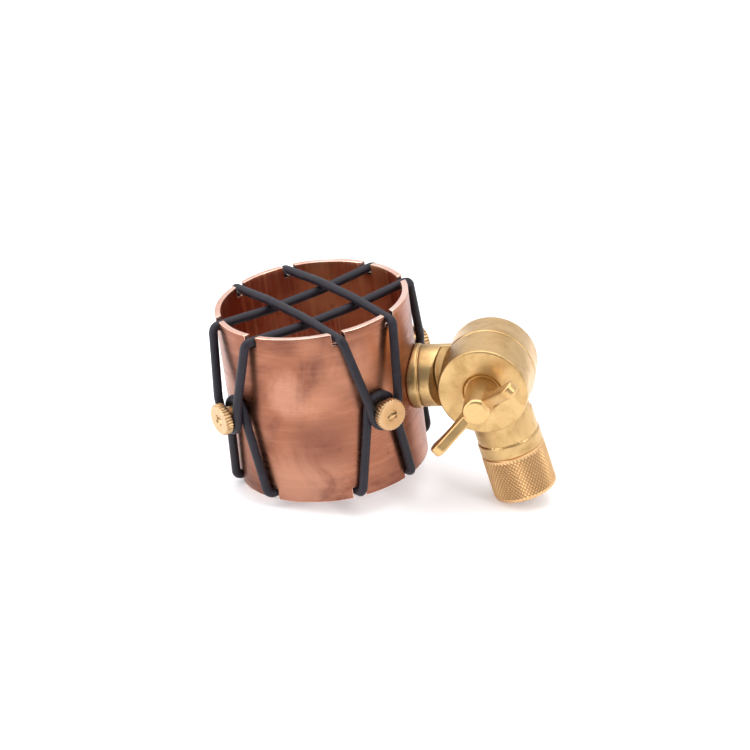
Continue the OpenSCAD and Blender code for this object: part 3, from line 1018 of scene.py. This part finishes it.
@dataclass
class Swivel:
    """The two brass castings, the wing screw and the neck's fixing."""

    finishes: Finishes
    seam_r: float = 16.0
    face_r: float = 15.3
    front_t: float = 14.8
    rear_t: float = 13.2
    arm_r: float = 10.8
    collar_r: float = 11.15
    collar_len: float = 4.8
    cope_depth: float = 3.0
    clear_r: float = 18.8
    shank_r: float = 3.95
    boss_root_r: float = 5.5
    boss_tip_r: float = 4.6
    boss_h: float = 15.6
    recess: float = 0.6
    recess_rim: float = 1.1
    bore_depth: float = 10.0
    seam_chamfer: float = 0.45
    ear_turn: float = 39.0
    ear_t: float = 3.8
    ear_tip_r: float = 2.9
    ear_low: float = 3.0
    ear_sink: float = 0.4
    ear_reach: float = 19.0
    ear_rise: float = 22.6
    ear_round: float = 1.6
    wing_voxel: float = 0.2
    wing_passes: int = 24
    spigot_r: float = 7.35
    spigot_len: float = 6.1
    shank_sink: float = 9.0
    neck_head_r: float = 5.2
    neck_head_t: float = 3.55
    neck_screw_r: float = 3.0
    neck_slot_w: float = 1.2
    neck_slot_depth: float = 1.5
    washer_r: float = 6.5
    washer_t: float = 1.2
    voxel: float = 0.26
    passes: int = 5

    def drum(self, thickness: float, recess: float = 0.0, depth: float = 0.0) -> bmesh.types.BMesh:
        """One half of the drum, from the seam along +Z, with its bore.

        Args:
            thickness: Its thickness.
            recess: Depth of the flat recess round the bore in its outer face.
            depth: Depth of a blind bore, or 0 for a bore that goes right through.

        Returns:
            The drum as a closed solid.
        """
        bore, ledge, gap = self.shank_r + 0.1, self.boss_root_r + self.recess_rim, SIZES.seat_gap
        corners = [(self.seam_r - self.seam_chamfer, gap), (self.seam_r, gap + self.seam_chamfer),
                   (self.seam_r, 1.2), (self.face_r, thickness)]
        radii = [0.1, 0.1, 0.3, 0.6]
        if depth:
            corners = [(0, depth), (bore, depth), (bore, gap)] + corners + [(0, thickness)]
            radii = [0, 0, 0] + radii + [0]
        else:
            corners += [(ledge, thickness), (ledge, thickness - recess), (bore, thickness - recess), (bore, gap)]
            radii += [0.1, 0.1, 0, 0]
        return turned(rounded(corners, radii), 160)

    def arm(self, length: float) -> bmesh.types.BMesh:
        """A round arm from the pivot along +Z, ending in a collar."""
        ring = length - self.collar_len
        outline = rounded([(0, 0), (self.arm_r, 0), (self.arm_r, ring - 0.5), (self.arm_r - 0.45, ring - 0.2),
                           (self.arm_r - 0.45, ring), (self.collar_r, ring), (self.collar_r, length), (0, length)],
                          [0, 0, 0.2, 0, 0, 0.35, 0.5, 0], 3)
        return turned(outline, 128)

    def rod(self, r: float, low: float, high: float, steps: int = 96) -> bmesh.types.BMesh:
        """A plain cylinder from low to high along Z."""
        return turned([(0, low), (r, low), (r, high), (0, high)], steps)

    def rear(self) -> None:
        """Builds the rear casting with the neck, coped to the tube."""
        s = SIZES
        neck = to_object(place(self.arm(s.neck_reach + self.cope_depth), at_neck()), "rear_casting")
        carve(neck, place(self.rod(self.clear_r, -s.seat_gap, 30), at_pivot()))
        carve(neck, self.rod(s.tube_r + 0.02, -40, 40, 256))
        carve(neck, place(self.rod(self.shank_r + 0.4, -1, 16), at_pivot(True)))
        gather(neck, place(self.drum(self.rear_t, depth=self.bore_depth), at_pivot(True)))
        soften(neck, self.voxel, self.passes)
        dress(neck, "cradle", self.finishes.cast, ["swivel_rear"])

    def front(self) -> None:
        """Builds the front casting with the stem."""
        s = SIZES
        stem = to_object(place(self.arm(s.stem_reach), at_stem()), "front_casting")
        carve(stem, place(self.rod(self.clear_r, -s.seat_gap, 30), at_pivot(True)))
        carve(stem, place(self.rod(self.shank_r + 0.4, -1, 16), at_pivot()))
        gather(stem, place(self.rod(self.spigot_r, s.stem_reach - 2, s.stem_reach + self.spigot_len), at_stem()))
        gather(stem, place(self.drum(self.front_t, self.recess), at_pivot()))
        soften(stem, self.voxel, self.passes)
        dress(stem, "stand_arm", self.finishes.cast, ["swivel_front"])

    def wing(self) -> None:
        """Builds the wing screw: a tapered boss and two ears that sweep outwards and forwards."""
        top = self.front_t
        base = top - self.recess + SIZES.seat_gap
        shank, low = self.shank_r - 0.02, -self.shank_sink
        outline = rounded([(0, low), (shank, low), (shank, base), (self.boss_root_r, base),
                           (self.boss_tip_r, top + self.boss_h), (0, top + self.boss_h)],
                          [0, 0.6, 0, 0.5, 1.1, 0])
        wing = to_object(place(turned(outline, 96), at_pivot()), "winged_screw")
        for turn in (self.ear_turn, self.ear_turn + 180):
            gather(wing, place(self.ear(), at_pivot() @ Matrix.Translation((0, 0, top))
                               @ Matrix.Rotation(math.radians(turn), 4, "Z")))
        soften(wing, self.wing_voxel, self.wing_passes)
        dress(wing, "wing", self.finishes.wing, ["wing_screw"])

    def ear(self) -> bmesh.types.BMesh:
        """One ear, standing in the plane of X and Z: round tip, straight front edge, hollow rear edge."""
        front = Vector((self.boss_tip_r - self.ear_sink, self.boss_h - self.ear_sink))
        tip, tip_r = Vector((self.ear_reach - self.ear_tip_r, self.ear_rise - self.ear_tip_r)), self.ear_tip_r
        root_x = self.boss_root_r - self.ear_sink
        run, rise = tip.x - root_x, tip.y - self.ear_low
        sweep_r = (run * run + rise * rise - tip_r * tip_r) / (2 * (run + tip_r))
        centre = Vector((root_x + sweep_r, self.ear_low))
        span = tip - front
        lean = math.atan2(span.y, span.x) + math.asin(tip_r / span.length)
        start, stop = math.atan2(centre.y - tip.y, centre.x - tip.x), lean + math.pi / 2
        outline = [Vector((0, self.ear_low)), Vector((0, front.y)), front]
        outline += [tip + tip_r * Vector((math.cos(a), math.sin(a)))
                    for a in (stop + (start - stop) * i / 20 for i in range(21))]
        start, stop = math.atan2(tip.y - centre.y, tip.x - centre.x), math.pi
        outline += [centre + sweep_r * Vector((math.cos(a), math.sin(a)))
                    for a in (start + (stop - start) * i / 24 for i in range(1, 25))]
        bm = bmesh.new()
        half = self.ear_t / 2
        face = bm.faces.new([bm.verts.new((p.x, -half, p.y)) for p in outline])
        made = bmesh.ops.extrude_face_region(bm, geom=[face])["geom"]
        bmesh.ops.translate(bm, vec=(0, self.ear_t, 0), verts=[g for g in made if isinstance(g, bmesh.types.BMVert)])
        bmesh.ops.recalc_face_normals(bm, faces=bm.faces)
        rims = [e for e in bm.edges if abs(e.verts[0].co.y - e.verts[1].co.y) < 1e-4]
        bmesh.ops.bevel(bm, geom=rims, offset=self.ear_round, offset_type="OFFSET", segments=5, profile=0.5,
                        affect="EDGES", material=-1, clamp_overlap=True)
        return bm

    def neck_screw(self) -> None:
        """Builds the slotted screw that holds the neck, from inside the tube."""
        s = SIZES
        inner = s.tube_r - s.tube_wall
        seat = math.sqrt(inner ** 2 - self.washer_r ** 2) - 2 * s.seat_gap - self.washer_t
        top, tip = seat - self.neck_head_t, s.tube_r + s.neck_reach - self.clear_r - 1.5
        outline = rounded([(0, top), (self.neck_head_r, top), (self.neck_head_r, seat), (self.neck_screw_r, seat),
                           (self.neck_screw_r, tip), (0, tip)], [0, 1.4, 0.2, 0, 0.6, 0])
        along_x = Matrix.Rotation(math.pi / 2, 4, "Y")
        screw = to_object(place(turned(outline, 64), along_x), "slotted_neck_screw")
        turn = Matrix.Rotation(math.radians(62), 4, "Z")
        cut_slot(screw, along_x @ Matrix.Translation((0, 0, top)) @ turn, self.neck_slot_w,
                 self.neck_slot_depth)
        dress(screw, "cradle", self.finishes.steel, ["neck_screw"])

    def make(self) -> None:
        """Builds every piece of the swivel."""
        self.rear()
        self.front()
        self.wing()
        repaint(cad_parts["friction_washer"], self.finishes.fibre)
        repaint(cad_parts["neck_washer"], self.finishes.steel)
        self.neck_screw()


# ------------------------------------------------------------------ the coupler


@dataclass
class Coupler:
    """The diamond-knurled coupler with its stand thread."""

    finishes: Finishes
    radius: float = 11.3
    length: float = 16.8
    bore_r: float = 7.95
    crest_r: float = 7.45
    pitch: float = 0.94
    thread_from: float = 7.2
    turns: int = 9
    turn_steps: int = 48
    crest_flat: float = 0.17
    diamonds: int = 54
    rows: int = 9
    depth: float = 0.34
    margin: float = 0.6

    def make(self) -> None:
        """Builds the knurled sleeve, closes its ends and adds its thread."""
        bm = bmesh.new()
        columns, rows = 2 * self.diamonds, 2 * self.rows
        low, high = self.margin, self.length - self.margin
        groove = bm.verts.layers.float.new("groove")
        made = bmesh.ops.create_grid(bm, x_segments=columns, y_segments=rows, size=0.5)["verts"]
        crest = []
        for vert in made:
            i = round((vert.co.x + 0.5) * columns)
            j = round((vert.co.y + 0.5) * rows)
            angle = TAU * i / columns
            edge = j in (0, rows)
            peak = (i + j) % 2 == 0 and not edge
            # Weight of the painted shade in the knurl's valleys.
            vert[groove] = 0.0 if peak or edge else 1.0
            r = self.radius if peak else self.radius - self.depth
            vert.co = Vector((r * math.cos(angle), r * math.sin(angle), low + (high - low) * j / rows))
            if peak:
                crest.append(vert)
        bmesh.ops.remove_doubles(bm, verts=bm.verts, dist=1e-4)
        crest = {v for v in crest if v.is_valid}
        for face in bm.faces[:]:
            low_pair = [v for v in face.verts if v not in crest]
            if len(low_pair) == 2:
                bmesh.utils.face_split(face, low_pair[0], low_pair[1])
        bmesh.ops.bevel(bm, geom=[v for v in crest if v.is_valid], offset=self.crest_flat, offset_type="OFFSET",
                        segments=1, profile=0.5, affect="VERTICES", material=-1, clamp_overlap=True)
        self.ends(bm, low, high)
        bmesh.ops.recalc_face_normals(bm, faces=bm.faces)
        place(bm, self.seat())
        coupler = to_object(bm, "knurled_coupler", 25)
        dress(coupler, "coupler", self.finishes.knurl, ["stand_coupler"])
        self.thread()

    def seat(self) -> Matrix:
        """Matrix of the coupler's seat at the end of the stem's shoulder."""
        return at_stem() @ Matrix.Translation((0, 0, SIZES.stem_reach + SIZES.seat_gap))

    def thread(self) -> None:
        """Builds the female thread as one helical ridge inside the mouth."""
        half, steps = 0.42 * self.pitch, self.turn_steps
        bm = bmesh.new()
        root, crest = self.bore_r + 0.05, self.crest_r
        face = bm.faces.new([bm.verts.new((r, 0, self.thread_from + z))
                             for r, z in ((root, -half), (crest, -0.06), (crest, 0.06), (root, half))])
        bmesh.ops.spin(bm, geom=[face], cent=(0, 0, 0), axis=(0, 0, 1), angle=TAU * self.turns,
                       steps=steps * self.turns, dvec=(0, 0, self.pitch / steps))
        bmesh.ops.recalc_face_normals(bm, faces=bm.faces)
        ridge = to_object(place(bm, self.seat()), "stand_thread_ridge", 25)
        dress(ridge, "coupler", self.finishes.knurl)

    def ends(self, bm: bmesh.types.BMesh, low: float, high: float) -> None:
        """Closes both ends down to the bore, ring by ring.

        Args:
            bm: The knurled sleeve, open at both ends.
            low: Height of its lower edge.
            high: Height of its upper edge.
        """
        groove = bm.verts.layers.float["groove"]
        rim = self.radius - self.depth
        tops = {False: [(rim + 0.1, low - 0.1), (rim - 0.25, 0.15), (rim - 0.45, 0.0), (self.bore_r + 0.2, 0.0),
                        (self.bore_r, 0.2)],
                True: [(rim + 0.15, high + 0.1), (rim - 0.35, self.length - 0.12), (rim - 0.6, self.length),
                       (self.bore_r + 0.35, self.length), (self.bore_r, self.length - 0.35)]}
        for top, rings in tops.items():
            edges = [e for e in bm.edges if e.is_boundary
                     and (e.verts[0].co.z > self.length / 2) == top]
            for radius, height in rings:
                fresh, edges = grown(bm, edges)
                for vert in fresh:
                    angle = math.atan2(vert.co.y, vert.co.x)
                    vert.co = Vector((radius * math.cos(angle), radius * math.sin(angle), height))
                    vert[groove] = 0.0
        bmesh.ops.bridge_loops(bm, edges=[e for e in bm.edges if e.is_boundary])


# ------------------------------------------------------------------ the studio


@dataclass
class Studio:
    """Floor, lights and camera."""

    dark_side: tuple[float, float, float] = (0.15, -1.0, 0.15)
    bright: float = 1.05
    dim: float = 0.42
    floor_tilt: float = 10.1
    floor_drop: float = 35.85
    floor_glow: float = 0.2
    lens: float = 126.57
    eye: tuple[float, float, float] = (0.211082, -0.798815, 0.385698)
    right: tuple[float, float, float] = (0.97676, 0.17713, -0.12068)
    up: tuple[float, float, float] = (0.03108, 0.44002, 0.89745)

    def camera(self) -> None:
        """Makes the camera."""
        data = bpy.data.cameras.new("camera")
        data.lens = self.lens
        data.sensor_width = 36
        data.clip_start, data.clip_end = 0.05, 20
        camera = bpy.data.objects.new("camera", data)
        right = Vector(self.right).normalized()
        up = Vector(self.up)
        up = (up - right * up.dot(right)).normalized()
        back = right.cross(up)
        camera.matrix_world = Matrix.Translation(self.eye) @ Matrix((right, up, back)).transposed().to_4x4()
        bpy.context.scene.collection.objects.link(camera)
        bpy.context.scene.camera = camera

    def floor(self) -> None:
        """Makes the pale floor that the tube's rim and the coupler rest on."""
        bm = bmesh.new()
        bmesh.ops.create_grid(bm, x_segments=2, y_segments=2, size=3000)
        tilt = Matrix.Rotation(math.radians(self.floor_tilt), 4, "Y")
        place(bm, tilt @ Matrix.Translation((0, 0, -self.floor_drop)))
        floor = to_object(bm, "floor")
        shader = Shader("pale_floor", 0.0, 0.85)
        cloud = shader.noise(3, 2.0)
        shader.colour(shader.blend(cloud, (0.95, 0.95, 0.96), (0.965, 0.965, 0.965)))
        shader.surface.inputs["Emission Color"].default_value = (0.93, 0.95, 1.0, 1.0)
        shader.surface.inputs["Emission Strength"].default_value = self.floor_glow
        floor.data.materials.append(shader.material)

    def light(self, name: str, at: tuple[float, float, float], size: tuple[float, float], power: float) -> None:
        """Adds one soft box that looks at the cradle.

        Args:
            name: The light's name.
            at: Its place, in metres.
            size: Its width and height, in metres.
            power: Its power, in watts.
        """
        data = bpy.data.lights.new(name, "AREA")
        data.shape = "RECTANGLE"
        data.size, data.size_y = size
        data.energy = power
        light = bpy.data.objects.new(name, data)
        light.location = at
        light.rotation_euler = (Vector((0.02, 0, 0)) - Vector(at)).to_track_quat("-Z", "Y").to_euler()
        bpy.context.scene.collection.objects.link(light)

    def room(self, scene: bpy.types.Scene) -> None:
        """Makes a white room that is darker on the side the camera stands.

        Args:
            scene: The scene that gets the world.
        """
        world = bpy.data.worlds.new("room")
        world.use_nodes = True
        nodes, links = world.node_tree.nodes, world.node_tree.links
        direction = nodes.new("ShaderNodeTexCoord")
        facing = nodes.new("ShaderNodeVectorMath")
        facing.operation = "DOT_PRODUCT"
        facing.inputs[1].default_value = Vector(self.dark_side).normalized()
        links.new(direction.outputs["Generated"], facing.inputs[0])
        dimmed = nodes.new("ShaderNodeMapRange")
        dimmed.interpolation_type = "SMOOTHSTEP"
        for name, number in (("From Min", -0.1), ("From Max", 0.85), ("To Min", self.bright), ("To Max", self.dim)):
            dimmed.inputs[name].default_value = number
        links.new(facing.outputs["Value"], dimmed.inputs["Value"])
        links.new(dimmed.outputs["Result"], nodes["Background"].inputs["Strength"])
        nodes["Background"].inputs["Color"].default_value = (0.965, 0.97, 1.0, 1.0)
        scene.world = world

    def make(self) -> None:
        """Builds the studio."""
        scene = bpy.context.scene
        scene.view_settings.view_transform = "Standard"
        scene.view_settings.look = "None"
        self.room(scene)
        self.floor()
        for name, at, size, power in (("overhead", (0.0, 0.1, 1.3), (1.8, 1.8), 17.0),
                                      ("left_box", (-1.0, -0.7, 0.7), (0.5, 0.9), 7.0),
                                      ("right_box", (1.1, -0.5, 0.6), (0.4, 0.8), 4.0)):
            self.light(name, at, size, power)
        self.camera()


def main() -> None:
    """Builds the cradle piece by piece, then the studio."""
    logging.basicConfig(level=logging.INFO, format="%(name)s: %(message)s")
    finishes = Finishes()
    for part in (Tube(finishes), Bands(finishes), Posts(finishes), Swivel(finishes), Coupler(finishes)):
        part.make()
    Studio().make()


if __name__ == "__main__":
    main()
